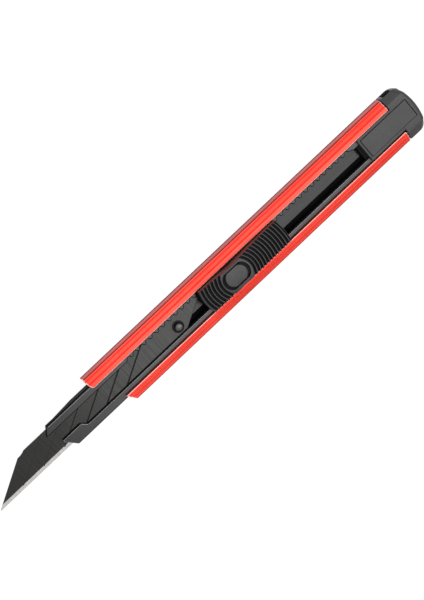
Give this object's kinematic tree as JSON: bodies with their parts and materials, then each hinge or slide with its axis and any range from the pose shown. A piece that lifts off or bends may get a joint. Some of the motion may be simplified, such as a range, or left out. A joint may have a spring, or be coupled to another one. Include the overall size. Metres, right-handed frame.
{
  "type": "snap-off craft knife",
  "caption": "Slim hobby knife: red aluminium handle, black steel blade channel, snap-off blade on a thumb slider, and a plastic end cap.",
  "frame": {"origin": "centre of the overall box in X and Y, on the flat back of the handle", "axes": "+X to the blade's tip, +Y to the cutting edge's side, +Z out of the face the slider stands on"},
  "size_m": [0.1762, 0.0162, 0.0117],
  "materials": {
    "handle_body": "red anodised satin",
    "blade_channel": "black satin",
    "blade": "black coated steel with a ground edge",
    "blade_peg": "polished dome",
    "carrier_plate": "plain",
    "slider_shoe": "black moulded",
    "lock_spring": "spring steel",
    "thumb_slider": "black moulded, ribbed",
    "thumb_pad": "fine satin",
    "end_cap": "black satin",
    "cap_plate": "black satin"
  },
  "bodies": {
    "handle": {"handle_body": "handle_body", "blade_channel": "blade_channel"},
    "slider": {"thumb_slider": "thumb_slider", "thumb_pad": "thumb_pad", "slider_shoe": "slider_shoe", "carrier_plate": "carrier_plate", "blade_peg": "blade_peg", "lock_spring": "lock_spring", "blade": "blade"},
    "cap": {"end_cap": "end_cap", "cap_plate": "cap_plate"}
  },
  "joints": [
    {"name": "slider_travel", "type": "slide", "parent": "handle", "child": "slider", "axis": [1, 0, 0], "range_m": [-0.0338, 0.0364], "deforming": ["lock_spring"]},
    {"name": "cap_pull", "type": "slide", "parent": "handle", "child": "cap", "axis": [-1, 0, 0], "range_m": [0, 0.03]}
  ]
}
